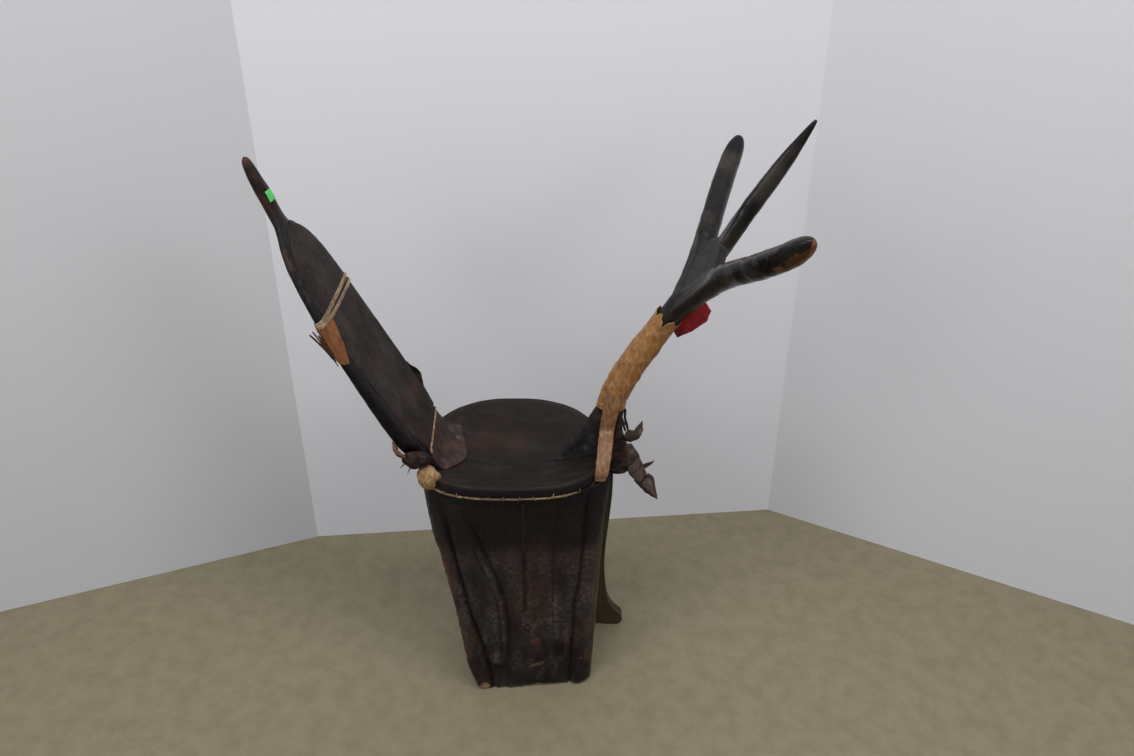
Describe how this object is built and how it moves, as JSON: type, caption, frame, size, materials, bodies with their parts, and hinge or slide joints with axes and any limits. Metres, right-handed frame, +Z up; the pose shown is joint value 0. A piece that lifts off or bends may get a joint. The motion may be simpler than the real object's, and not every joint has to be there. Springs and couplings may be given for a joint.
{
  "type": "camel saddle",
  "caption": "Wooden camel saddle with a dished leather seat, a leaf-shaped back board and a three-pronged pommel, on a narrow hide-covered frame.",
  "frame": {"origin": "on the floor, under the middle of the saddle's overall box", "axes": "+X forward to the three-pronged pommel, +Y to the rider's left, +Z up"},
  "size_m": [0.7413, 0.4643, 0.941],
  "materials": {
    "bare_wood": "old unfinished wood",
    "black_wood": "blackened and rubbed to a gloss, worn brown at the tips",
    "cantle_leather": "dull grey-brown leather",
    "edge_leather": "black leather with a soft gloss",
    "label_paper": "small blank green label",
    "old_hide": "dried, curled hide",
    "peg_wood": "whittled hardwood",
    "rawhide": "dried rawhide",
    "rawhide_wrap": "dried rawhide, ochre and stiff",
    "red_leather": "faded red leather",
    "seat_leather": "dark leather rubbed smooth",
    "skirt_hide": "stiff dark hide with dust in its creases",
    "torn_leather": "frayed dark red-brown leather"
  },
  "bodies": {
    "root": {"cantle_back_hide": "cantle_leather", "cantle_band": "rawhide", "cantle_board": "black_wood", "cantle_edge_left": "edge_leather", "cantle_edge_right": "edge_leather", "cantle_face_hide": "cantle_leather", "cantle_patch": "torn_leather", "cantle_tongue": "edge_leather", "cantle_torn_flap": "torn_leather", "cantle_wad_left": "torn_leather", "cantle_wad_right": "torn_leather", "cross_bar_front": "bare_wood", "cross_bar_rear": "bare_wood", "hide_barb": "old_hide", "hide_cone": "old_hide", "hide_flap": "old_hide", "hide_fold": "old_hide", "hide_tip": "old_hide", "lashing_rear_left": "rawhide", "lashing_rear_right": "rawhide", "leg_front_left": "bare_wood", "leg_front_right": "bare_wood", "leg_rear_left": "bare_wood", "leg_rear_right": "bare_wood", "neck_stay_left": "rawhide_wrap", "neck_stay_right": "rawhide_wrap", "neck_wrap": "rawhide_wrap", "peg_front_left": "peg_wood", "peg_front_right": "peg_wood", "peg_rear_left": "peg_wood", "peg_rear_right": "peg_wood", "pommel_fin": "seat_leather", "pommel_foot": "black_wood", "pommel_fork": "black_wood", "red_tab": "red_leather", "rim_cord_left": "rawhide", "rim_cord_right": "rawhide", "seat_board_left": "bare_wood", "seat_board_right": "bare_wood", "seat_hide_left": "seat_leather", "seat_hide_right": "seat_leather", "side_arm_front_left": "bare_wood", "side_arm_front_right": "bare_wood", "side_arm_rear_left": "bare_wood", "side_arm_rear_right": "bare_wood", "side_rail_left": "bare_wood", "side_rail_right": "bare_wood", "skirt_knot": "edge_leather", "skirt_knot_tail": "edge_leather", "skirt_left": "skirt_hide", "skirt_right": "skirt_hide", "skirt_strip": "edge_leather", "sticker": "label_paper", "strap_ends": "old_hide"}
  },
  "joints": []
}
